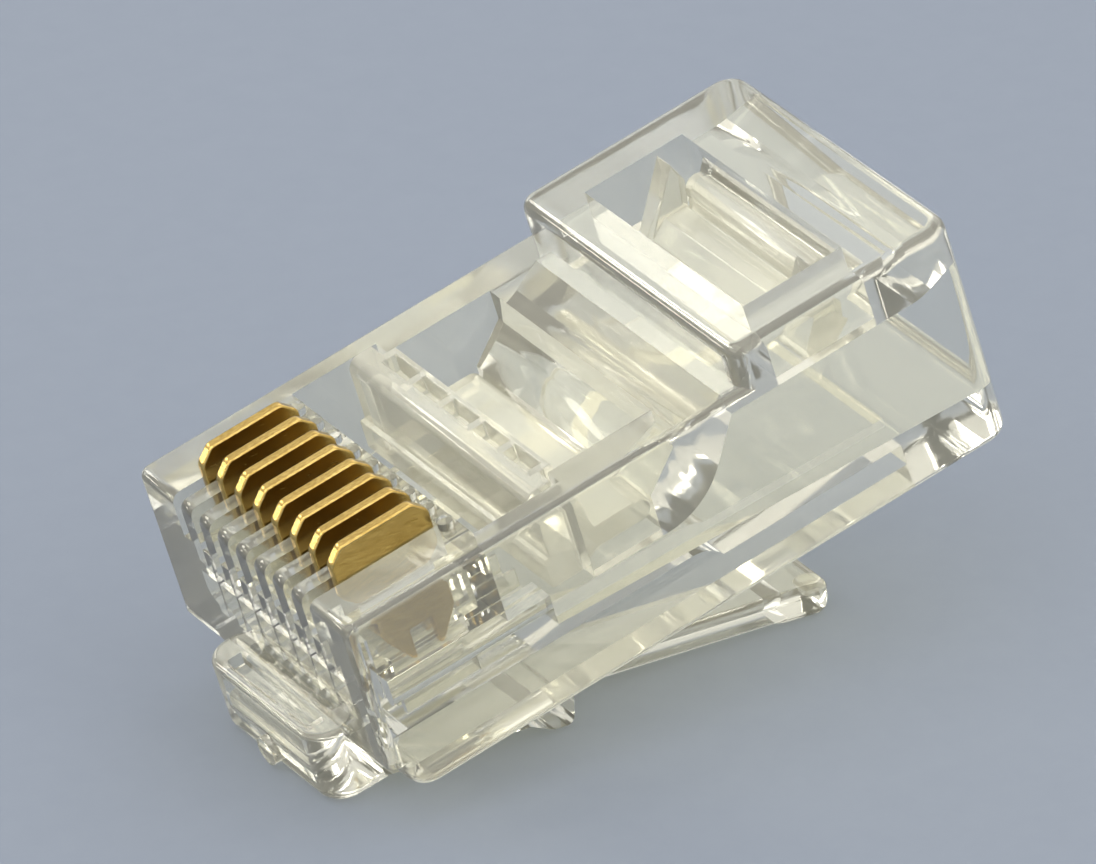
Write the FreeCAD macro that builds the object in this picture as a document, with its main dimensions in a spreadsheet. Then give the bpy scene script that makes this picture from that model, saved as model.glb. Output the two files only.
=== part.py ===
"""Eight-way modular plug: clear moulding, latch, two strain reliefs and eight blade contacts.

Plug axes: X runs back from the nose, Y across the contacts, Z up from the contact side of the nose.
The plug is drawn square to those axes and then laid down on its latch, as it comes to rest.
"""
import FreeCAD, Part
import math
import os

import Sketcher
from FreeCAD import Placement, Rotation, Vector

ACROSS = Vector(0, 1, 0)
CONTACTS = 8
CORE_COUNT = 5
CLOSE = 1e-4

DIMENSIONS = [
    # Outline of the moulding
    ("plug_width", 11.68, "width over the sides"),
    ("plug_length", 21.5, "nose face to rear face"),
    ("nose_length", 13.72, "nose face to the collar's step"),
    ("nose_depth", 5.14, "height of the nose face"),
    ("collar_rise", 1.36, "collar above the nose"),
    ("rail_depth", 6.34, "nose top to the underside of the side rails"),
    ("rail_setback", 0.45, "side rails behind the nose face"),
    ("rail_round", 0.9, "round at the front of each rail"),
    ("nose_corner", 0.35, "upright corners of the nose"),
    ("nose_edge", 0.3, "top front edge of the nose"),
    ("side_edge", 0.18, "long top edges of the nose"),
    ("collar_corner", 0.5, "upright corners at the collar's step"),
    ("rear_corner", 0.8, "upright corners at the rear"),
    ("collar_edge", 0.42, "top edges of the collar"),
    ("foot_edge", 0.3, "bottom edges of the rails and rear"),
    # Hollow for the cable
    ("side_wall", 0.89, "wall beside the cable cavity"),
    ("mouth_roof", 0.25, "cavity roof below the nose top, at the rear mouth"),
    ("roof_depth", 0.84, "cavity roof below the nose top, under the collar"),
    ("roof_lead", 1.4, "length of the sloped lead-in at the mouth"),
    ("roof_round", 1.8, "round between the lead-in and the roof"),
    ("funnel_start", 13.4, "where the roof begins to fall toward the wires"),
    ("funnel_end", 11.8, "where that fall would meet the wire ceiling"),
    ("funnel_round", 2.5, "round between the fall and the wire ceiling"),
    ("wire_ceiling", 3.3, "ceiling over the flat row of wires"),
    ("wire_floor", 4.05, "floor at the wire guides"),
    ("mouth_floor", 4.8, "floor at the rear mouth"),
    # Window behind the contacts
    ("window_front", 4.95, "front edge of the window"),
    ("window_step", 7.9, "where the window narrows"),
    ("window_rear", 11.5, "rear edge of the window"),
    ("window_wall", 0.84, "wall beside its wide front part"),
    ("window_ledge", 1.47, "wall beside its narrow rear part"),
    ("window_drop", 1.02, "upright part of its rear wall"),
    ("slope_foot", 10.4, "foot of the sloping part of its rear wall"),
    ("slope_depth", 2.08, "depth of that foot"),
    # Window in the collar
    ("hatch_front", 15.2, "front edge of the collar window"),
    ("hatch_rear", 18.65, "rear edge of the collar window"),
    ("hatch_width", 8.5, "width of the collar window"),
    # Wire guides
    ("pitch", 1.02, "contact and wire pitch"),
    ("wire_bore", 0.92, "width of each wire channel"),
    ("wire_axis", 3.55, "depth of the wire centres"),
    ("guide_top", 3.0, "top of the ridges between the wires"),
    ("guide_front", 1.1, "front end of the wire channels"),
    ("guide_rear", 6.4, "rear end of the ridges"),
    # Contacts
    ("blade_front", 1.05, "front edge of a blade"),
    ("blade_length", 3.33, "blade length along the plug"),
    ("blade_thickness", 0.35, "sheet thickness"),
    ("blade_rise", 1.05, "blade top above the nose, before crimping"),
    ("blade_corner", 0.45, "bevel of the upper corners"),
    ("blade_waist", 1.0, "depth of the shoulders"),
    ("blade_shoulder", 0.5, "inset of the body below the shoulders"),
    ("tine_root", 2.0, "depth where the tines divide"),
    ("tine_tip", 2.97, "depth of the tine points"),
    ("tine_width", 0.78, "width of a tine at its root"),
    ("tine_point", 0.14, "width of the point"),
    ("crimp_travel", 1.4, "how far a blade is pressed home"),
    ("slot_gap", 0.05, "clearance beside a blade"),
    ("end_gap", 0.1, "clearance at the ends of a blade"),
    ("slot_mouth", 1.45, "depth of the slots in the nose face"),
    ("blade_round", 0.3, "rounds at both ends of the bevels"),
    ("post_radius", 0.24, "round posts between the rear ends of the contacts"),
    ("post_rise", 0.25, "posts above the nose top"),
    ("post_setback", 0.35, "centres of the posts before the window"),
    # Latch
    ("root_reach", 0.95, "latch root in front of the nose face"),
    ("root_rear", 0.95, "rear face of the latch root"),
    ("root_lip", 0.24, "top of the latch root above the nose's underside"),
    ("root_bottom", 7.45, "underside of the latch root"),
    ("root_width", 6.5, "width of the latch root"),
    ("root_round", 0.5, "bottom front edge of the latch root"),
    ("root_corner", 0.9, "upright front corners of the latch root"),
    ("root_brow", 0.2, "top front edge of the latch root, less than its lip"),
    ("root_fillet", 0.5, "inside round where the root meets the floor"),
    ("groove_wall", 0.33, "wall before the groove in the root's top"),
    ("groove_land", 0.1, "land between the groove and the nose face"),
    ("groove_depth", 0.4, "depth of the groove"),
    ("groove_end", 1.0, "walls at the ends of the groove"),
    ("gate_radius", 0.45, "radius of the gate mark on the root"),
    ("gate_rise", 0.75, "centre of the gate mark above the root's underside"),
    ("gate_reach", 0.25, "gate mark before the root's front"),
    ("hinge_x", 1.2, "latch hinge line behind the nose face"),
    ("hinge_depth", 6.95, "latch hinge line below the nose top"),
    ("hinge_gap", 0.03, "clearance round a hinge end"),
    ("latch_angle", 16.0, "angle of the free latch below the plug, degrees"),
    ("latch_thickness", 0.8, "thickness of the latch"),
    ("latch_thin", 0.1, "thinning of the latch between hinge and lug"),
    ("latch_width", 6.22, "width of the latch up to its shoulders"),
    ("shoulder_reach", 6.05, "hinge line to the locking shoulders"),
    ("lug_depth", 0.62, "underside of the lug below the hinge line"),
    ("lug_length", 0.7, "flat of the lug"),
    ("lug_ramp", 0.75, "length of the ramp up to the lug"),
    ("lug_round", 0.25, "rounded underside of the lug"),
    ("tail_width", 3.25, "width of the tail"),
    ("tail_reach", 15.8, "hinge line to the end of the tail"),
    ("tail_lip", 1.3, "length of the thick end of the tail"),
    ("tail_ramp", 0.7, "taper up to the thick end"),
    ("tail_round", 0.3, "rounded end of the tail"),
    ("tail_corner", 0.5, "plan corners of the tail"),
    # Recess for the latch
    ("recess_gap", 0.1, "recess beside the latch root"),
    ("recess_end", 12.4, "rear end of the deep recess"),
    ("recess_round", 1.1, "round at its rear end"),
    ("channel_depth", 5.65, "roof of the shallow tail channel"),
    ("channel_end", 18.5, "rear end of the tail channel"),
    # Conductor strain relief
    ("bar_front", 6.62, "front face of the bar at its foot"),
    ("bar_step", 0.18, "step in that face"),
    ("bar_step_depth", 1.95, "depth of the step"),
    ("bar_rise", 0.12, "top of the bar above the nose top"),
    ("bar_round", 0.4, "round of its front top edge"),
    ("bar_crown", 8.14, "rear end of its top"),
    ("bar_back", 8.5, "where its rear face meets the web"),
    ("bar_foot", 2.95, "depth of its foot"),
    ("bar_shoulder", 7.7, "rear end of its wide part"),
    ("bar_gap", 0.12, "clearance at the ends of the bar"),
    ("web_thickness", 0.7, "thickness of the web behind the bar"),
    ("core_wall", 0.19, "wall behind the cored pockets in the bar's top"),
    ("core_length", 0.45, "length of the pockets along the plug"),
    ("core_depth", 0.6, "depth of the pockets"),
    ("core_rib", 0.3, "ribs between the pockets"),
    # Jacket strain relief
    ("flap_thickness", 0.84, "thickness of the flap"),
    ("flap_rise", 0.25, "hinge line above the nose top"),
    ("flap_angle", 40.0, "slope of the flap, degrees"),
    ("flap_reach", 2.0, "hinge line to the end of its top face"),
    ("neck_gap", 0.1, "slit between the neck at the hinge and a cheek"),
    ("neck_length", 0.69, "hinge line to the bottom of the bend groove"),
    ("neck_dip", 0.11, "bottom of the bend groove below the hinge line"),
    ("groove_lip", 1.27, "hinge line to the front of the bend groove"),
    ("flap_foot", 0.2, "foot of a cheek below the hinge line"),
    ("flap_nose", 0.35, "how far the edge stands past the top face"),
    ("flap_gap", 0.15, "clearance at the ends of the flap"),
    ("cheek_width", 0.75, "width of the cheek at each end"),
    ("cheek_rise", 1.16, "peak of a cheek above the hinge line"),
    ("cheek_peak", 0.23, "peak of a cheek behind the hinge line"),
]


class Size:
    """A number kept together with the spreadsheet formula it comes from."""

    def __init__(self, formula, value):
        self.formula = formula
        self.value = value

    def __add__(self, other):
        other = size_of(other)
        return Size(f"({self.formula} + {other.formula})", self.value + other.value)

    def __sub__(self, other):
        other = size_of(other)
        return Size(f"({self.formula} - {other.formula})", self.value - other.value)

    def __mul__(self, other):
        other = size_of(other)
        return Size(f"({self.formula} * {other.formula})", self.value * other.value)

    def __truediv__(self, other):
        other = size_of(other)
        return Size(f"({self.formula} / {other.formula})", self.value / other.value)

    def __neg__(self):
        return Size(f"(-{self.formula})", -self.value)

    def __radd__(self, other):
        return size_of(other) + self

    def __rsub__(self, other):
        return size_of(other) - self

    def __rmul__(self, other):
        return size_of(other) * self


def size_of(number):
    """The number itself if it is a Size already, or a fixed Size."""
    return number if isinstance(number, Size) else Size(f"{number:g}", float(number))


class Sizes:
    """The driving dimensions: one spreadsheet cell each, read by name."""

    def __init__(self, document):
        self.sheet = document.addObject("Spreadsheet::Sheet", "Sizes")
        for row, (name, number, note) in enumerate(DIMENSIONS, start=1):
            self.sheet.set(f"A{row}", name)
            self.sheet.set(f"B{row}", str(number))
            self.sheet.setAlias(f"B{row}", name)
            self.sheet.set(f"C{row}", note)
        document.recompute()

    def __getattr__(self, name):
        return Size(f"Sizes.{name}", float(getattr(self.sheet, name)))


document = FreeCAD.newDocument("modular_plug")
size = Sizes(document)


# ---- Drawing helpers -------------------------------------------------------------------------

def new_body(name):
    """An empty body that will be written under this name."""
    body = document.addObject("PartDesign::Body", name)
    body.Label = name
    return body


def origin_feature(body, role):
    """One of the body's own origin planes or axes."""
    return next(item for item in body.Origin.OriginFeatures if item.Role == role)


def bind(item, target, amount):
    """Tie a property to the spreadsheet, or set it if it is fixed."""
    item.setExpression(target, size_of(amount).formula)


def sketch_on(body, name, role, offset=0):
    """A sketch on an origin plane, moved along the plane's normal by offset."""
    sketch = body.newObject("Sketcher::SketchObject", name)
    sketch.AttachmentSupport = [(origin_feature(body, role), "")]
    sketch.MapMode = "FlatFace"
    bind(sketch, "AttachmentOffset.Base.z", offset)
    return sketch


def fix_point(sketch, geometry, end, across, up):
    """Hold a sketch point at (across, up) from the sketch's origin."""
    for kind, amount in (("DistanceX", across), ("DistanceY", up)):
        amount = size_of(amount)
        index = sketch.addConstraint(Sketcher.Constraint(kind, -1, 1, geometry, end, amount.value))
        sketch.setExpression(f"Constraints[{index}]", amount.formula)


def draw_outline(sketch, corners):
    """A closed outline through the corners, each one tied to its sizes."""
    points = [Vector(size_of(across).value, size_of(up).value, 0) for across, up in corners]
    count = len(points)
    lines = [Part.LineSegment(points[i], points[(i + 1) % count]) for i in range(count)]
    sketch.addGeometry(lines, False)
    for i in range(count):
        sketch.addConstraint(Sketcher.Constraint("Coincident", i, 2, (i + 1) % count, 1))
    for i, (across, up) in enumerate(corners):
        fix_point(sketch, i, 1, across, up)


def draw_circle(sketch, across, up, radius):
    """A circle tied to its centre and radius."""
    centre = Vector(size_of(across).value, size_of(up).value, 0)
    radius = size_of(radius)
    geometry = sketch.addGeometry(Part.Circle(centre, Vector(0, 0, 1), radius.value), False)
    fix_point(sketch, geometry, 3, across, up)
    index = sketch.addConstraint(Sketcher.Constraint("Radius", geometry, radius.value))
    sketch.setExpression(f"Constraints[{index}]", radius.formula)


def extrude(body, kind, sketch, length):
    """A pad or pocket of this length, half to each side of its sketch."""
    feature = body.newObject(f"PartDesign::{kind}", f"{sketch.Name}_{kind.lower()}")
    feature.Profile = sketch
    feature.Midplane = True
    bind(feature, "Length", length)
    document.recompute()
    return feature


def side_feature(body, kind, name, corners, width, offset=0):
    """Pad or pocket a side outline (X, Z) over a width centred at Y = -offset."""
    sketch = sketch_on(body, name, "XZ_Plane", offset)
    draw_outline(sketch, corners)
    return extrude(body, kind, sketch, width)


def side_circle(body, kind, name, across, up, radius, width):
    """Pad or pocket a circle seen from the side over a centred width."""
    sketch = sketch_on(body, name, "XZ_Plane")
    draw_circle(sketch, across, up, radius)
    return extrude(body, kind, sketch, width)


def repeat_across(body, name, originals, count, step):
    """Repeat features along Y."""
    pattern = body.newObject("PartDesign::LinearPattern", name)
    pattern.Originals = originals
    pattern.Direction = (origin_feature(body, "Y_Axis"), [""])
    bind(pattern, "Length", step * (count - 1))
    pattern.Occurrences = count
    body.Tip = pattern
    document.recompute()
    return pattern


def edges_where(body, test):
    """Names of the straight or round edges of the body's tip whose box passes the test."""
    return [f"Edge{n}" for n, edge in enumerate(body.Tip.Shape.Edges, start=1) if test(edge.BoundBox)]


def round_edges(body, name, test, radius):
    """Fillet the edges that pass the test."""
    base = body.Tip
    edges = edges_where(body, test)
    fillet = body.newObject("PartDesign::Fillet", name)
    fillet.Base = (base, edges)
    bind(fillet, "Radius", radius)
    document.recompute()
    return fillet


def along(box, axis):
    """True if an edge with this box runs along one axis only."""
    spans = {"X": box.XLength, "Y": box.YLength, "Z": box.ZLength}
    return all((span > CLOSE) == (name == axis) for name, span in spans.items())


def at(number, amount):
    """True if a coordinate lies at a size."""
    return abs(number - size_of(amount).value) < CLOSE


# ---- Moulding --------------------------------------------------------------------------------

half_width = size.plug_width / 2
latch_room = size.root_width + 2 * size.recess_gap
root_top = size.nose_depth - size.root_lip
beyond = size.plug_width


def mould_outside(body):
    """Nose, collar and side rails with their rounded edges."""
    side_feature(body, "Pad", "shell", [
        (0, 0),
        (size.nose_length, 0),
        (size.nose_length, size.collar_rise),
        (size.plug_length, size.collar_rise),
        (size.plug_length, -size.rail_depth),
        (size.rail_setback, -size.rail_depth),
        (size.rail_setback, -size.nose_depth),
        (0, -size.nose_depth),
    ], size.plug_width)
    round_edges(body, "rear_corners", lambda box: along(box, "Z")
                and at(box.XMin, size.plug_length), size.rear_corner)
    round_edges(body, "rail_fronts", lambda box: along(box, "Y") and at(box.XMin, size.rail_setback)
                and at(box.ZMin, -size.rail_depth), size.rail_round)
    round_edges(body, "foot_edges", lambda box: at(box.ZMin, -size.rail_depth)
                and at(box.ZMax, -size.rail_depth) and box.XMax > size.nose_length.value, size.foot_edge)
    round_edges(body, "nose_corners", lambda box: along(box, "Z") and at(box.XMin, 0), size.nose_corner)
    round_edges(body, "collar_corners", lambda box: along(box, "Z")
                and at(box.XMin, size.nose_length), size.collar_corner)
    round_edges(body, "collar_edges", lambda box: at(box.ZMin, size.collar_rise)
                and at(box.ZMax, size.collar_rise), size.collar_edge)
    round_edges(body, "nose_edge", lambda box: along(box, "Y") and at(box.XMin, 0)
                and at(box.ZMin, 0), size.nose_edge)


def mould_underside(body):
    """Recess between the rails, tail channel and the fixed root of the latch."""
    side_feature(body, "Pocket", "latch_recess", [
        (-size.root_reach, -size.nose_depth),
        (size.recess_end, -size.nose_depth),
        (size.recess_end, -size.rail_depth - size.recess_round),
        (-size.root_reach, -size.rail_depth - size.recess_round),
    ], latch_room)
    round_edges(body, "recess_end_round", lambda box: along(box, "Y") and at(box.XMin, size.recess_end)
                and at(box.ZMin, -size.nose_depth), size.recess_round)
    side_feature(body, "Pocket", "tail_channel", [
        (size.recess_end - size.recess_round, -size.channel_depth),
        (size.channel_end, -size.channel_depth),
        (size.channel_end, -size.rail_depth - size.recess_round),
        (size.recess_end - size.recess_round, -size.rail_depth - size.recess_round),
    ], latch_room)
    side_feature(body, "Pad", "latch_root", [
        (-size.root_reach, -root_top),
        (size.nose_corner, -root_top),
        (size.root_rear, -root_top),
        (size.root_rear, -size.root_bottom),
        (-size.root_reach, -size.root_bottom),
    ], size.root_width)
    round_edges(body, "root_corners", lambda box: along(box, "Z")
                and at(box.XMin, -size.root_reach), size.root_corner)
    round_edges(body, "root_bottom_edge", lambda box: along(box, "Y")
                and at(box.XMin, -size.root_reach) and at(box.ZMin, -size.root_bottom), size.root_round)
    round_edges(body, "root_top_edge", lambda box: along(box, "Y")
                and at(box.XMin, -size.root_reach) and at(box.ZMin, -root_top), size.root_brow)
    round_edges(body, "root_inside", lambda box: along(box, "Y") and at(box.XMin, size.root_rear)
                and at(box.ZMin, -size.nose_depth), size.root_fillet)
    side_circle(body, "Pocket", "latch_seat", size.hinge_x, -size.hinge_depth,
                size.latch_thickness / 2 + size.hinge_gap, beyond)
    side_feature(body, "Pocket", "root_groove", [
        (size.groove_wall - size.root_reach, -root_top),
        (-size.groove_land, -root_top),
        (-size.groove_land, -root_top - size.groove_depth),
        (size.groove_wall - size.root_reach, -root_top - size.groove_depth),
    ], size.root_width - 2 * size.groove_end)
    gate = sketch_on(body, "gate_mark", "YZ_Plane", -size.root_reach)
    draw_circle(gate, 0, size.gate_rise - size.root_bottom, size.gate_radius)
    extrude(body, "Pad", gate, 2 * size.gate_reach)


def mould_cavity(body):
    """Hollow that narrows from the cable mouth to a flat row of wires."""
    side_feature(body, "Pocket", "cable_cavity", [
        (size.plug_length, -size.mouth_roof),
        (size.plug_length - size.roof_lead, -size.roof_depth),
        (size.funnel_start, -size.roof_depth),
        (size.funnel_end, -size.wire_ceiling),
        (size.guide_rear, -size.wire_ceiling),
        (size.guide_rear, -size.wire_floor),
        (size.plug_length, -size.mouth_floor),
    ], size.plug_width - 2 * size.side_wall)
    round_edges(body, "funnel_round", lambda box: along(box, "Y") and at(box.XMin, size.funnel_end)
                and at(box.ZMin, -size.wire_ceiling), size.funnel_round)
    round_edges(body, "roof_round", lambda box: along(box, "Y") and at(box.ZMin, -size.roof_depth)
                and at(box.XMin, size.plug_length - size.roof_lead), size.roof_round)


def mould_windows(body):
    """Window behind the contacts, in two widths, and the window in the collar."""
    side_feature(body, "Pocket", "window_wide", [
        (size.window_front, size.collar_rise),
        (size.window_step, size.collar_rise),
        (size.window_step, -size.wire_ceiling),
        (size.guide_rear, -size.wire_ceiling),
        (size.guide_rear, -size.guide_top),
        (size.window_front, -size.guide_top),
    ], size.plug_width - 2 * size.window_wall)
    side_feature(body, "Pocket", "window_narrow", [
        (size.bar_front, size.collar_rise),
        (size.window_rear, size.collar_rise),
        (size.window_rear, -size.window_drop),
        (size.slope_foot, -size.slope_depth),
        (size.slope_foot, -size.wire_floor),
        (size.bar_front, -size.wire_floor),
    ], size.plug_width - 2 * size.window_ledge)
    side_feature(body, "Pocket", "hatch", [
        (size.hatch_front, 2 * size.collar_rise),
        (size.hatch_rear, 2 * size.collar_rise),
        (size.hatch_rear, -size.roof_depth - size.collar_rise),
        (size.hatch_front, -size.roof_depth - size.collar_rise),
    ], size.hatch_width)


def mould_contact_comb(body):
    """Eight blade slots over eight wire channels."""
    first = size.pitch * (CONTACTS - 1) / 2
    blade_rear = size.blade_front + size.blade_length
    waist_front = size.blade_front + size.blade_shoulder
    waist_rear = blade_rear - size.blade_shoulder
    pressed_waist = size.blade_waist + size.crimp_travel + size.end_gap
    pressed_tip = size.tine_tip + size.crimp_travel + size.end_gap
    slot = side_feature(body, "Pocket", "blade_slot", [
        (-size.nose_edge, size.nose_edge),
        (blade_rear + size.end_gap, size.nose_edge),
        (blade_rear + size.end_gap, -pressed_waist),
        (waist_rear + size.end_gap, -pressed_waist),
        (waist_rear + size.end_gap, -pressed_tip),
        (waist_front - size.end_gap, -pressed_tip),
        (waist_front - size.end_gap, -pressed_waist),
        (size.blade_front - size.end_gap, -pressed_waist),
        (size.blade_front - size.end_gap, -size.slot_mouth),
        (-size.nose_edge, -size.slot_mouth),
    ], size.blade_thickness + 2 * size.slot_gap, first)
    channel_sketch = sketch_on(body, "wire_channel", "YZ_Plane", size.guide_front)
    draw_circle(channel_sketch, -first, -size.wire_axis, size.wire_bore / 2)
    gutter_sketch = sketch_on(body, "wire_gutter", "YZ_Plane", size.guide_front)
    draw_outline(gutter_sketch, [
        (-first - size.wire_bore / 2, -size.wire_axis),
        (-first + size.wire_bore / 2, -size.wire_axis),
        (-first + size.wire_bore / 2, -size.guide_top),
        (-first - size.wire_bore / 2, -size.guide_top),
    ])
    cuts = [slot]
    for sketch in (channel_sketch, gutter_sketch):
        cut = body.newObject("PartDesign::Pocket", f"{sketch.Name}_pocket")
        cut.Profile = sketch
        cut.Reversed = True
        bind(cut, "Length", size.guide_rear - size.guide_front)
        document.recompute()
        cuts.append(cut)
    repeat_across(body, "contact_comb", cuts, CONTACTS, size.pitch)


def mould_posts(body):
    """Round posts that part the rear ends of the contacts."""
    post = sketch_on(body, "post", "XY_Plane")
    draw_circle(post, size.window_front - size.post_setback, -size.pitch * CONTACTS / 2, size.post_radius)
    pad = extrude(body, "Pad", post, 2 * size.post_rise)
    repeat_across(body, "posts", [pad], CONTACTS + 1, size.pitch)


def build_housing():
    """The clear moulding."""
    body = new_body("housing")
    mould_outside(body)
    mould_underside(body)
    mould_cavity(body)
    mould_windows(body)
    mould_contact_comb(body)
    mould_posts(body)
    return body


# ---- Latch -----------------------------------------------------------------------------------

def build_latch():
    """The latch, drawn straight along X from its hinge line."""
    body = new_body("latch_tab")
    half = size.latch_thickness / 2
    lug_front = size.shoulder_reach - size.lug_length
    ramp_front = lug_front - size.lug_ramp
    side_circle(body, "Pad", "hinge_end", 0, 0, half, size.latch_width)
    side_feature(body, "Pad", "arm", [
        (0, half),
        (size.shoulder_reach, half),
        (size.shoulder_reach, -size.lug_depth),
        (lug_front, -size.lug_depth),
        (ramp_front, size.latch_thin - half),
        (half + size.latch_thin, size.latch_thin - half),
        (half, -half),
        (0, -half),
    ], size.latch_width)
    round_edges(body, "lug_round", lambda box: along(box, "Y") and at(box.ZMin, -size.lug_depth)
                and at(box.ZMax, -size.lug_depth), size.lug_round)
    lip_front = size.tail_reach - size.tail_lip
    side_feature(body, "Pad", "tail", [
        (lug_front, half),
        (size.tail_reach, half),
        (size.tail_reach, -size.lug_depth),
        (lip_front, -size.lug_depth),
        (lip_front - size.tail_ramp, -half),
        (lug_front, -half),
    ], size.tail_width)
    round_edges(body, "tail_corners", lambda box: along(box, "Z") and at(box.XMin, size.tail_reach),
                size.tail_corner)
    round_edges(body, "tail_end", lambda box: box.XMin > lip_front.value and box.ZLength < CLOSE
                and box.XMax > size.tail_reach.value - size.tail_corner.value - CLOSE
                and box.YLength > CLOSE, size.tail_round)
    return body


# ---- Strain reliefs --------------------------------------------------------------------------

web_half = size.web_thickness / 2
web_hinge_x = size.slope_foot - size.hinge_gap - web_half
web_hinge_depth = size.slope_depth + web_half


def build_conductor_relief():
    """Bar and web that are pressed down on the wires, drawn from the hinge line of the web."""
    body = new_body("conductor_strain_relief")

    def place(across, depth):
        return across - web_hinge_x, web_hinge_depth - depth

    web_width = size.plug_width - 2 * size.window_ledge - 2 * size.bar_gap
    bar_width = size.plug_width - 2 * size.window_wall - 2 * size.bar_gap
    upper_front = size.bar_front + size.bar_step
    side_circle(body, "Pad", "web_end", 0, 0, web_half, web_width)
    side_feature(body, "Pad", "web", [
        place(size.bar_shoulder, -size.bar_rise),
        place(size.bar_crown, -size.bar_rise),
        place(size.bar_back, size.slope_depth),
        (0, web_half),
        (0, -web_half),
        place(size.bar_back, web_hinge_depth + web_half),
        place(size.bar_crown, size.bar_foot),
        place(size.bar_shoulder, size.bar_foot),
    ], web_width)
    side_feature(body, "Pad", "bar", [
        place(size.bar_front, size.bar_foot),
        place(size.bar_front, size.bar_step_depth),
        place(upper_front, size.bar_step_depth),
        place(upper_front, -size.bar_rise),
        place(size.bar_shoulder, -size.bar_rise),
        place(size.bar_shoulder, size.bar_foot),
    ], bar_width)
    top = web_hinge_depth + size.bar_rise
    round_edges(body, "bar_brow", lambda box: along(box, "Y") and at(box.ZMin, top)
                and at(box.XMin, upper_front - web_hinge_x), size.bar_round)
    core_rear = size.bar_crown - size.core_wall
    core_front = core_rear - size.core_length
    core_pitch = (web_width - size.core_rib) / CORE_COUNT
    core = side_feature(body, "Pocket", "core", [
        place(core_front, -size.bar_rise),
        place(core_rear, -size.bar_rise),
        place(core_rear, size.core_depth - size.bar_rise),
        place(core_front, size.core_depth - size.bar_rise),
    ], core_pitch - size.core_rib, core_pitch * (CORE_COUNT - 1) / 2)
    repeat_across(body, "cores", [core], CORE_COUNT, core_pitch)
    return body


flap_half = size.flap_thickness / 2
flap_hinge_x = size.hatch_rear - size.hinge_gap - flap_half


def build_jacket_relief():
    """Flap that is pressed into the cable jacket, drawn level from its hinge line."""
    body = new_body("jacket_strain_relief")
    flap_width = size.hatch_width - 2 * size.flap_gap
    neck_width = flap_width - 2 * (size.cheek_width + size.neck_gap)
    side_circle(body, "Pad", "flap_end", 0, 0, flap_half, neck_width)
    side_feature(body, "Pad", "neck", [
        (0, flap_half),
        (-size.neck_length, -size.neck_dip),
        (-size.neck_length, -flap_half),
        (0, -flap_half),
    ], neck_width)
    side_feature(body, "Pad", "flap", [
        (-size.neck_length, -size.neck_dip),
        (-size.groove_lip, flap_half),
        (-size.flap_reach, flap_half),
        (-size.flap_reach - size.flap_nose, -flap_half / 2),
        (-size.flap_reach, -flap_half),
        (-size.neck_length, -flap_half),
    ], flap_width)
    for name, side in (("near_cheek", 1), ("far_cheek", -1)):
        side_feature(body, "Pad", name, [
            (-size.flap_reach, flap_half),
            (size.cheek_peak, size.cheek_rise),
            (0, flap_half),
            (-size.neck_length, -size.flap_foot),
            (-size.groove_lip, -size.flap_foot),
        ], size.cheek_width, side * (flap_width - size.cheek_width) / 2)
    return body


# ---- Contacts --------------------------------------------------------------------------------

def build_contact(number):
    """One blade with two insulation-piercing tines."""
    body = new_body(f"contact_{number}")
    rear = size.blade_length
    waist_front = size.blade_shoulder
    waist_rear = size.blade_length - size.blade_shoulder
    side_feature(body, "Pad", f"blade_{number}", [
        (0, -size.blade_waist),
        (0, size.blade_rise - size.blade_corner),
        (size.blade_corner, size.blade_rise),
        (rear - size.blade_corner, size.blade_rise),
        (rear, size.blade_rise - size.blade_corner),
        (rear, -size.blade_waist),
        (waist_rear, -size.blade_waist),
        (waist_rear, -size.tine_root),
        (waist_rear - size.tine_width + size.tine_point, -size.tine_tip),
        (waist_rear - size.tine_width, -size.tine_tip),
        (waist_rear - size.tine_width, -size.tine_root),
        (waist_front + size.tine_width, -size.tine_root),
        (waist_front + size.tine_width, -size.tine_tip),
        (waist_front + size.tine_width - size.tine_point, -size.tine_tip),
        (waist_front, -size.tine_root),
        (waist_front, -size.blade_waist),
    ], size.blade_thickness)
    round_edges(body, f"bevel_rounds_{number}", lambda box: along(box, "Y")
                and box.ZMin > 0, size.blade_round)
    return body


# ---- Assembly --------------------------------------------------------------------------------

def turned(degrees):
    """A turn about Y that lifts the +X side."""
    return Rotation(-ACROSS, degrees)


def at_point(across, depth, degrees=0.0, sideways=0.0):
    """Place a sub-part by its own origin in the square plug, nose top at zero depth."""
    base = Vector(size_of(across).value, size_of(sideways).value, -size_of(depth).value)
    return Placement(base, turned(degrees))


def resting_pitch(latch_place):
    """Angle that lays the root of the latch and the end of its tail on one level."""
    root = Vector((size.root_round - size.root_reach).value, 0, (size.root_round - size.root_bottom).value)
    tail = latch_place.multVec(Vector((size.tail_reach - size.tail_round).value, 0,
                                      (size.tail_round - size.lug_depth).value))
    span = tail - root
    slope = math.atan2(-span.z, span.x)
    return math.degrees(slope - math.asin((size.root_round - size.tail_round).value / span.Length))


def build_plug():
    """Every sub-part with its place in the square plug."""
    latch_place = at_point(size.hinge_x, size.hinge_depth, -size.latch_angle.value)
    plug = [
        (build_housing(), Placement()),
        (build_latch(), latch_place),
        (build_conductor_relief(), at_point(web_hinge_x, web_hinge_depth)),
        (build_jacket_relief(), at_point(flap_hinge_x, -size.flap_rise, size.flap_angle.value)),
    ]
    for number in range(1, CONTACTS + 1):
        sideways = size.pitch * ((CONTACTS + 1) / 2 - number)
        plug.append((build_contact(number), at_point(size.blade_front, 0, sideways=sideways)))
    return plug, resting_pitch(latch_place)


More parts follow.
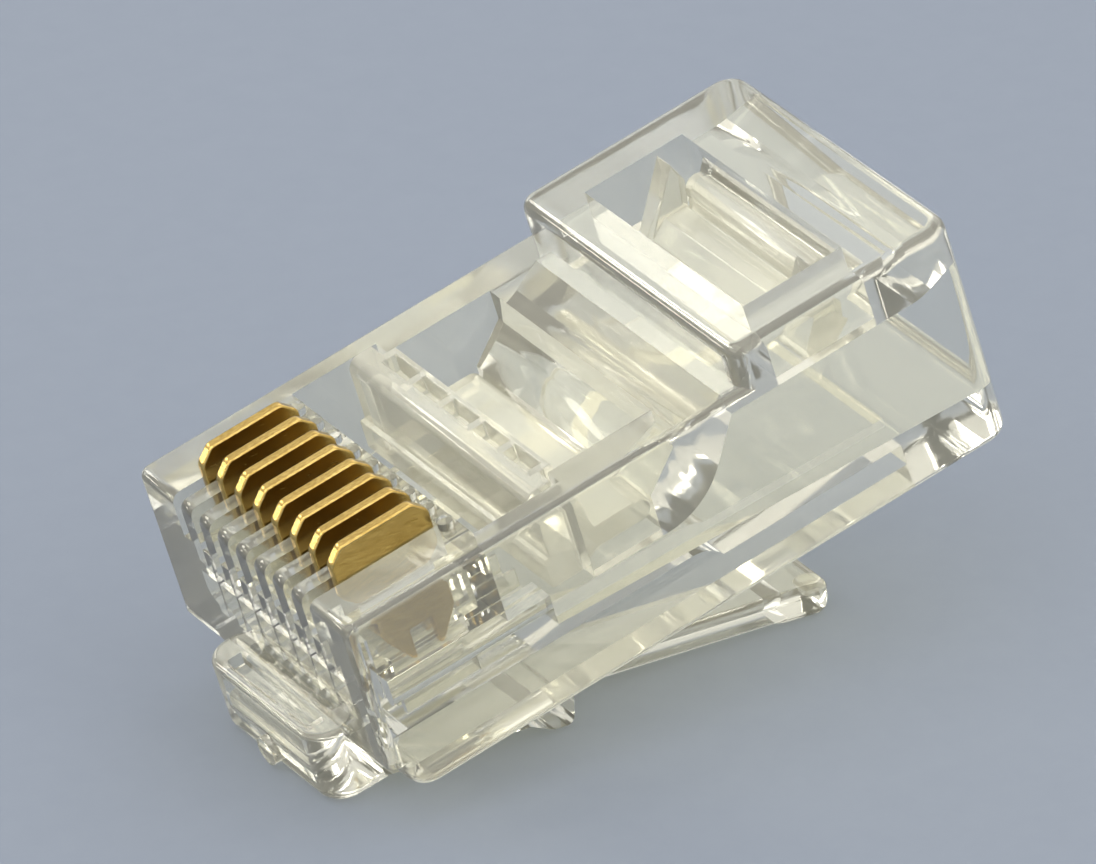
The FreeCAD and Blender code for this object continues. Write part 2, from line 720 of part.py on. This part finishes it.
def lay_down(plug, pitch):
    """Pitch the plug onto its latch, with the origin under the middle of its box."""
    pitched = Placement(Vector(), turned(pitch))
    for body, place in plug:
        body.Placement = pitched * place
    document.recompute()
    box = Part.makeCompound([body.Shape for body, _ in plug]).optimalBoundingBox(False)
    seat = Placement(Vector(-box.Center.x, -box.Center.y, -box.ZMin), Rotation())
    for body, _ in plug:
        body.Placement = seat * body.Placement
    document.recompute()


def check(plug):
    """Stop if any feature failed or any sub-part is not one sound solid."""
    for item in document.Objects:
        if {"Invalid", "Error"} & set(item.State):
            raise RuntimeError(f"{item.Name} failed: {item.State}")
    for body, _ in plug:
        if body.Shape.isNull() or not body.Shape.isValid() or len(body.Shape.Solids) != 1:
            raise RuntimeError(f"{body.Label} is not one sound solid")


def write_parts(plug):
    """One STEP file for each sub-part."""
    os.makedirs("parts", exist_ok=True)
    for body, _ in plug:
        body.Shape.exportStep(f"parts/{body.Label}.step")


plug, pitch = build_plug()
lay_down(plug, pitch)
check(plug)
write_parts(plug)
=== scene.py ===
"""Finish, studio and camera for the eight-way modular plug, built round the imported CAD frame."""

import logging
import math
from dataclasses import dataclass
from enum import Enum
from typing import Any

import bpy
from mathutils import Matrix, Vector

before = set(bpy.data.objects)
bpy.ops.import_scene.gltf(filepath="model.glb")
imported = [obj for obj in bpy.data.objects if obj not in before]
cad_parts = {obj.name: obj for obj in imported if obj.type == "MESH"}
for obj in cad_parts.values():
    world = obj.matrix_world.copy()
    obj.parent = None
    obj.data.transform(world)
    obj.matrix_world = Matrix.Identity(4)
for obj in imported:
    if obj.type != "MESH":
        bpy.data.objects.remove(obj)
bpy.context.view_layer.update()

Colour = tuple[float, float, float]

MM = 0.001
log = logging.getLogger("modular_plug")


# ---- Shader expressions ----------------------------------------------------------------------


class Value:
    """A number socket that can stand in an arithmetic expression."""

    def __init__(self, graph: "Graph", socket: bpy.types.NodeSocket) -> None:
        """Wrap one output socket of a graph."""
        self.graph = graph
        self.socket = socket

    def _maths(self, operation: str, first: Any, second: Any) -> "Value":
        """Add one Math node."""
        node = self.graph.node("ShaderNodeMath", {"operation": operation}, {0: first, 1: second})
        return Value(self.graph, node.outputs[0])

    def __add__(self, other: Any) -> "Value":
        """Sum."""
        return self._maths("ADD", self, other)

    def __radd__(self, other: Any) -> "Value":
        """Sum with a plain number on the left."""
        return self._maths("ADD", other, self)

    def __sub__(self, other: Any) -> "Value":
        """Difference."""
        return self._maths("SUBTRACT", self, other)

    def __rsub__(self, other: Any) -> "Value":
        """Difference from a plain number."""
        return self._maths("SUBTRACT", other, self)

    def __mul__(self, other: Any) -> "Value":
        """Product."""
        return self._maths("MULTIPLY", self, other)

    def __rmul__(self, other: Any) -> "Value":
        """Product with a plain number on the left."""
        return self._maths("MULTIPLY", other, self)

    def above(self, limit: float, softness: float) -> "Value":
        """Mask that rises from 0 to 1 as the value passes a limit.

        Args:
            limit: Value at which the mask is half way up.
            softness: Width of the rise.

        Returns:
            The mask.
        """
        node = self.graph.node(
            "ShaderNodeMapRange",
            {"interpolation_type": "SMOOTHSTEP", "clamp": True},
            {"Value": self, "From Min": limit - softness / 2, "From Max": limit + softness / 2},
        )
        return Value(self.graph, node.outputs["Result"])


class Graph:
    """Node tree of one material, or of the room."""

    def __init__(self, name: str, owner: Any = None) -> None:
        """Start with an empty tree.

        Args:
            name: Name of the material to make.
            owner: World to use instead of a new material.
        """
        self.owner = owner or bpy.data.materials.new(name)
        self.owner.use_nodes = True
        self.tree = self.owner.node_tree
        self.tree.nodes.clear()

    def node(
        self,
        kind: str,
        settings: dict[str, Any] | None = None,
        inputs: dict[Any, Any] | None = None,
    ) -> bpy.types.Node:
        """Add a node.

        Args:
            kind: Blender's node type.
            settings: Properties of the node, set before its sockets.
            inputs: Values or links of its sockets, by name or number.

        Returns:
            The new node.
        """
        made = self.tree.nodes.new(kind)
        for name, setting in (settings or {}).items():
            setattr(made, name, setting)
        for key, given in (inputs or {}).items():
            self.feed(made.inputs[key], given)
        return made

    def feed(self, socket: bpy.types.NodeSocket, given: Any) -> None:
        """Link a socket, or set its own value.

        Args:
            socket: The input socket.
            given: A Value, an output socket, or a constant.
        """
        if isinstance(given, Value):
            self.tree.links.new(given.socket, socket)
        elif isinstance(given, bpy.types.NodeSocket):
            self.tree.links.new(given, socket)
        else:
            socket.default_value = given

    def place(self, stretch: tuple[float, float, float]) -> bpy.types.NodeSocket:
        """Position on the object in metres, scaled along each axis.

        Args:
            stretch: Factor along X, Y and Z.

        Returns:
            The vector socket.
        """
        where = self.node("ShaderNodeTexCoord").outputs["Object"]
        return self.node(
            "ShaderNodeVectorMath", {"operation": "MULTIPLY"}, {0: where, 1: stretch}
        ).outputs[0]

    def noise(self, texture: "Texture") -> Value:
        """Fractal noise between 0 and 1.

        Args:
            texture: Stretch, scale and fineness of the noise.

        Returns:
            The noise value.
        """
        node = self.node(
            "ShaderNodeTexNoise",
            {"normalize": True},
            {
                "Vector": self.place(texture.stretch),
                "Scale": texture.scale,
                "Detail": texture.octaves,
                "Roughness": texture.fine_share,
            },
        )
        return Value(self, node.outputs["Fac"])

    def tone(self, mask: Value, low: Colour, high: Colour) -> bpy.types.NodeSocket:
        """Colour that runs from one tone to another.

        Args:
            mask: 0 for the first tone, 1 for the second.
            low: First colour.
            high: Second colour.

        Returns:
            The colour socket.
        """
        node = self.node(
            "ShaderNodeMix", {"data_type": "RGBA"}, {0: mask, 6: (*low, 1.0), 7: (*high, 1.0)}
        )
        return node.outputs[2]

    def bump(self, height: Value, strength: float, distance: float) -> bpy.types.NodeSocket:
        """Bumped normal.

        Args:
            height: Height between 0 and 1.
            strength: Strength of the bump.
            distance: Depth in metres that a height of 1 stands for.

        Returns:
            The normal socket.
        """
        node = self.node(
            "ShaderNodeBump", {}, {"Strength": strength, "Distance": distance, "Height": height}
        )
        return node.outputs["Normal"]

    def mix(
        self, factor: Value, first: bpy.types.Node, second: bpy.types.Node
    ) -> bpy.types.NodeSocket:
        """Blend of two shaders.

        Args:
            factor: 0 for the first shader, 1 for the second.
            first: Node of the first shader.
            second: Node of the second shader.

        Returns:
            The shader socket.
        """
        shaders = {0: factor, 1: first.outputs[0], 2: second.outputs[0]}
        return self.node("ShaderNodeMixShader", {}, shaders).outputs[0]

    def rays(self, *kinds: str) -> Value:
        """Mask of the named kinds of ray.

        Args:
            kinds: Outputs of Light Path.

        Returns:
            1 on those rays, 0 on the others.
        """
        path = self.node("ShaderNodeLightPath")
        total = Value(self, path.outputs[kinds[0]])
        for kind in kinds[1:]:
            total = total + Value(self, path.outputs[kind])
        return total.above(limit=0.5, softness=0.2)

    def output(self, surface: bpy.types.NodeSocket, kind: str = "ShaderNodeOutputMaterial") -> Any:
        """Close the graph.

        Args:
            surface: The shader to show.
            kind: Output node of a material or of a world.

        Returns:
            The finished material or world.
        """
        self.node(kind, {}, {"Surface": surface})
        return self.owner


@dataclass(frozen=True)
class Texture:
    """Noise laid over the object."""

    scale: float
    stretch: tuple[float, float, float] = (1.0, 1.0, 1.0)
    octaves: float = 0.0
    fine_share: float = 0.5


@dataclass(frozen=True)
class Spots:
    """Spots where a noise passes a limit."""

    texture: Texture
    limit: float
    softness: float

    def mask(self, graph: Graph) -> Value:
        """Lay the spots over the object of a graph; 1 inside them."""
        return graph.noise(self.texture).above(self.limit, self.softness)


# ---- Finishes --------------------------------------------------------------------------------


class Polish(Enum):
    """How smooth a mould face leaves the plastic: its base roughness."""

    MIRROR = 0.03
    SATIN = 0.12


@dataclass(frozen=True)
class ClearPlastic:
    """Clear moulded polycarbonate with faint flow lines and handling scuffs."""

    name: str
    polish: Polish = Polish.MIRROR
    tint: Colour = (0.985, 0.975, 0.895)
    refraction: float = 1.585
    haze: float = 0.1
    passed_light: Colour = (0.95, 0.94, 0.88)
    flow: Texture = Texture(260.0, (0.5, 2.2, 2.2), octaves=1.0, fine_share=0.4)
    flow_strength: float = 0.12
    flow_depth: float = 0.02 * MM
    scratches: Spots = Spots(Texture(2400.0, (0.2, 1.4, 1.4)), 0.62, 0.14)
    handled: Spots = Spots(Texture(420.0), 0.58, 0.2)
    scuff_roughness: float = 0.08

    def build(self) -> bpy.types.Material:
        """Make the material."""
        graph = Graph(self.name)
        scuff = self.scratches.mask(graph) * self.handled.mask(graph)
        body = graph.node(
            "ShaderNodeBsdfPrincipled",
            {},
            {
                "Base Color": (*self.tint, 1.0),
                "Roughness": self.polish.value + scuff * self.scuff_roughness,
                "IOR": self.refraction,
                "Transmission Weight": 1.0 - self.haze,
                "Normal": graph.bump(graph.noise(self.flow), self.flow_strength, self.flow_depth),
            },
        )
        lit_through = graph.node(
            "ShaderNodeBsdfTransparent", {}, {"Color": (*self.passed_light, 1.0)}
        )
        shadow = Value(graph, graph.node("ShaderNodeLightPath").outputs["Is Shadow Ray"])
        return graph.output(graph.mix(shadow, body, lit_through))


@dataclass(frozen=True)
class GoldPlate:
    """Thin gold plate over rolled sheet, with the grain of the sheet still showing."""

    name: str
    bright: Colour = (0.74, 0.53, 0.19)
    deep: Colour = (0.48, 0.32, 0.09)
    smooth: float = 0.16
    grain: float = 0.16
    rolling: Texture = Texture(22000.0, (0.12, 1.0, 1.0), octaves=3.0, fine_share=0.55)
    rolling_share: float = 0.65
    rolling_strength: float = 0.3
    rolling_depth: float = 0.008 * MM
    stains: Texture = Texture(900.0, octaves=3.0, fine_share=0.55)
    dull_limit: float = 0.5
    dull_softness: float = 0.4

    def build(self) -> bpy.types.Material:
        """Make the material."""
        graph = Graph(self.name)
        lines, stain = graph.noise(self.rolling), graph.noise(self.stains)
        wear = lines * self.rolling_share + stain * (1.0 - self.rolling_share)
        dulled = wear.above(self.dull_limit, self.dull_softness)
        body = graph.node(
            "ShaderNodeBsdfPrincipled",
            {},
            {
                "Base Color": graph.tone(dulled, self.bright, self.deep),
                "Metallic": 1.0,
                "Roughness": self.smooth + lines * self.grain,
                "Normal": graph.bump(lines, self.rolling_strength, self.rolling_depth),
            },
        )
        return graph.output(body.outputs[0])


@dataclass(frozen=True)
class StudioFloor:
    """Pale matt paper."""

    name: str
    pale: Colour = (0.34, 0.38, 0.46)
    shade: Colour = (0.32, 0.36, 0.44)
    tooth: Texture = Texture(900.0, octaves=3.0, fine_share=0.6)
    roughness: float = 0.85
    sheen_level: float = 0.2

    def build(self) -> bpy.types.Material:
        """Make the material."""
        graph = Graph(self.name)
        body = graph.node(
            "ShaderNodeBsdfPrincipled",
            {},
            {
                "Base Color": graph.tone(graph.noise(self.tooth), self.pale, self.shade),
                "Roughness": self.roughness,
                "Specular IOR Level": self.sheen_level,
            },
        )
        return graph.output(body.outputs[0])


# ---- Sub-assemblies --------------------------------------------------------------------------


def dress(name: str, material: bpy.types.Material) -> bpy.types.Object:
    """Give a CAD node its finish.

    Args:
        name: Node name.
        material: Finish for every slot.

    Returns:
        The node's object.
    """
    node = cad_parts[name]
    if not node.material_slots:
        node.data.materials.append(material)
    for slot in node.material_slots:
        slot.material = material
    return node


@dataclass(frozen=True)
class SoftEdge:
    """The small round that a mould or a press leaves along a sharp edge."""

    width: float
    segments: int
    same_point: float = 1e-7
    flat_angle: float = math.radians(0.5)
    sharp_angle: float = math.radians(30.0)

    def round_off(self, node: bpy.types.Object) -> None:
        """Join the facets of a CAD node's flat faces and round its sharp edges.

        Args:
            node: The node's object.
        """
        weld = node.modifiers.new("join_facets", "WELD")
        weld.merge_threshold = self.same_point
        flat = node.modifiers.new("flat_faces", "DECIMATE")
        flat.decimate_type = "DISSOLVE"
        flat.angle_limit = self.flat_angle
        bevel = node.modifiers.new("soft_edges", "BEVEL")
        bevel.width = self.width
        bevel.segments = self.segments
        bevel.limit_method = "ANGLE"
        bevel.angle_limit = self.sharp_angle
        bevel.harden_normals = True


@dataclass
class Moulding:
    """The clear parts: housing and latch in clear plastic, the strain reliefs frosted."""

    clear_nodes: tuple[str, ...] = ("housing", "latch_tab")
    frosted_nodes: tuple[str, ...] = ("conductor_strain_relief", "jacket_strain_relief")
    edge: SoftEdge = SoftEdge(0.06 * MM, 2)
    clear: ClearPlastic = ClearPlastic("clear_polycarbonate")
    frosted: ClearPlastic = ClearPlastic("frosted_polycarbonate", polish=Polish.SATIN, haze=0.25)

    def build(self) -> list[bpy.types.Object]:
        """Dress each clear part."""
        made = []
        for finish, names in ((self.clear, self.clear_nodes), (self.frosted, self.frosted_nodes)):
            material = finish.build()
            made += [dress(name, material) for name in names]
        for node in made:
            self.edge.round_off(node)
        return made


@dataclass
class ContactRow:
    """The eight gold-plated blades."""

    count: int = 8
    edge: SoftEdge = SoftEdge(0.07 * MM, 3)
    finish: GoldPlate = GoldPlate("gold_plate")

    def build(self) -> list[bpy.types.Object]:
        """Dress each blade."""
        material = self.finish.build()
        made = [dress(f"contact_{number}", material) for number in range(1, self.count + 1)]
        for node in made:
            self.edge.round_off(node)
        return made


# ---- Studio ----------------------------------------------------------------------------------


@dataclass(frozen=True)
class Stand:
    """A place round the object, given by angles and a distance."""

    azimuth: float
    elevation: float
    distance: float

    def toward(self) -> Vector:
        """Unit direction from the object; azimuth 0 stands on the -Y side, positive toward +X."""
        turn, rise = math.radians(self.azimuth), math.radians(self.elevation)
        flat = math.cos(rise)
        return Vector((math.sin(turn) * flat, -math.cos(turn) * flat, math.sin(rise)))

    def pose(self, centre: Vector) -> Matrix:
        """Where a thing stands when it faces the object.

        Args:
            centre: Point it faces.

        Returns:
            Its world matrix.
        """
        away = self.toward()
        turned = (-away).to_track_quat("-Z", "Y").to_matrix().to_4x4()
        return Matrix.Translation(centre + away * self.distance) @ turned


@dataclass(frozen=True)
class SoftBox:
    """One soft lamp: its place, its width and height, and its power in watts."""

    name: str
    stand: Stand
    size: tuple[float, float]
    power: float
    colour: Colour = (1.0, 1.0, 1.0)

    def build(self, centre: Vector) -> bpy.types.Object:
        """Hang the lamp so that it faces the object.

        Args:
            centre: Point it faces.

        Returns:
            The lamp.
        """
        data = bpy.data.lights.new(self.name, "AREA")
        data.shape = "RECTANGLE"
        data.size, data.size_y = self.size
        data.energy = self.power
        data.color = self.colour
        lamp = bpy.data.objects.new(self.name, data)
        lamp.matrix_world = self.stand.pose(centre)
        lamp.visible_camera = False
        bpy.context.collection.objects.link(lamp)
        return lamp


@dataclass(frozen=True)
class Room:
    """The even light of the room, and the paler room that plastic and metal show."""

    name: str = "room"
    fill: Colour = (0.50, 0.51, 0.52)
    seen_low: Colour = (0.72, 0.72, 0.69)
    seen_high: Colour = (1.0, 0.98, 0.89)
    horizon: float = 0.35
    spread: float = 0.9

    def build(self) -> bpy.types.World:
        """Make the world and use it."""
        graph = Graph(self.name, bpy.data.worlds.new(self.name))
        where = graph.node("ShaderNodeTexCoord").outputs["Generated"]
        height = Value(graph, graph.node("ShaderNodeSeparateXYZ", {}, {0: where}).outputs["Z"])
        shown = graph.tone(height.above(self.horizon, self.spread), self.seen_low, self.seen_high)
        seen = graph.node("ShaderNodeBackground", {}, {"Color": shown, "Strength": 1.0})
        fill = graph.node("ShaderNodeBackground", {}, {"Color": (*self.fill, 1.0), "Strength": 1.0})
        looking = graph.rays("Is Camera Ray", "Is Glossy Ray", "Is Transmission Ray")
        bpy.context.scene.world = graph.output(
            graph.mix(1.0 - looking, seen, fill), "ShaderNodeOutputWorld"
        )
        return bpy.context.scene.world


@dataclass
class Studio:
    """Floor, lamps, surroundings and camera."""

    floor_width: float = 3.0
    floor: StudioFloor = StudioFloor("pale_floor")
    room: Room = Room()
    centre: tuple[float, float, float] = (-0.54 * MM, 0.62 * MM, 7.48 * MM)
    camera_stand: Stand = Stand(-30.64, 28.62, 0.4052)
    camera_roll: float = -2.16
    lens: float = 465.15
    sensor_width: float = 36.0
    clip: tuple[float, float] = (0.01, 10.0)
    diffuse_bounces: int = 2
    lamps: tuple[SoftBox, ...] = (
        SoftBox("key", Stand(-80.0, 45.0, 0.9), (1.0, 0.9), 3.6, (1.0, 0.975, 0.88)),
        SoftBox("front", Stand(25.0, 32.0, 0.9), (0.7, 0.7), 1.3, (1.0, 0.98, 0.92)),
        SoftBox("rim", Stand(120.0, 30.0, 0.9), (0.7, 0.5), 0.9, (1.0, 0.99, 0.96)),
        SoftBox("top", Stand(10.0, 82.0, 0.9), (0.8, 0.8), 1.4),
        SoftBox("glint", Stand(-154.0, 29.0, 0.7), (0.13, 0.17), 0.5, (1.0, 0.96, 0.85)),
        SoftBox("low_glint", Stand(-138.0, 4.5, 0.7), (0.14, 0.07), 0.28, (1.0, 0.96, 0.85)),
    )

    def build_floor(self) -> bpy.types.Object:
        """Lay the floor."""
        half = self.floor_width / 2
        mesh = bpy.data.meshes.new("floor")
        corners = [(-half, -half, 0), (half, -half, 0), (half, half, 0), (-half, half, 0)]
        mesh.from_pydata(corners, [], [(0, 1, 2, 3)])
        floor = bpy.data.objects.new("floor", mesh)
        floor.data.materials.append(self.floor.build())
        bpy.context.collection.objects.link(floor)
        return floor

    def build_camera(self) -> bpy.types.Object:
        """Stand the camera."""
        data = bpy.data.cameras.new("camera")
        data.lens = self.lens
        data.sensor_width = self.sensor_width
        data.clip_start, data.clip_end = self.clip
        camera = bpy.data.objects.new("camera", data)
        roll = Matrix.Rotation(math.radians(self.camera_roll), 4, "Z")
        camera.matrix_world = self.camera_stand.pose(Vector(self.centre)) @ roll
        bpy.context.collection.objects.link(camera)
        bpy.context.scene.camera = camera
        return camera

    def build(self) -> list[bpy.types.Object]:
        """Set up the whole studio."""
        made = [self.build_floor()]
        self.room.build()
        made += [lamp.build(Vector(self.centre)) for lamp in self.lamps]
        made.append(self.build_camera())
        scene = bpy.context.scene
        scene.cycles.caustics_reflective = False
        scene.cycles.diffuse_bounces = self.diffuse_bounces
        scene.view_settings.view_transform = "Standard"
        return made


def main() -> None:
    """Build the studio and dress every part."""
    logging.basicConfig(level=logging.INFO, format="%(message)s")
    for assembly in (Studio(), Moulding(), ContactRow()):
        for piece in assembly.build():
            log.info("%s: %s", type(assembly).__name__, piece.name)


if __name__ == "__main__":
    main()
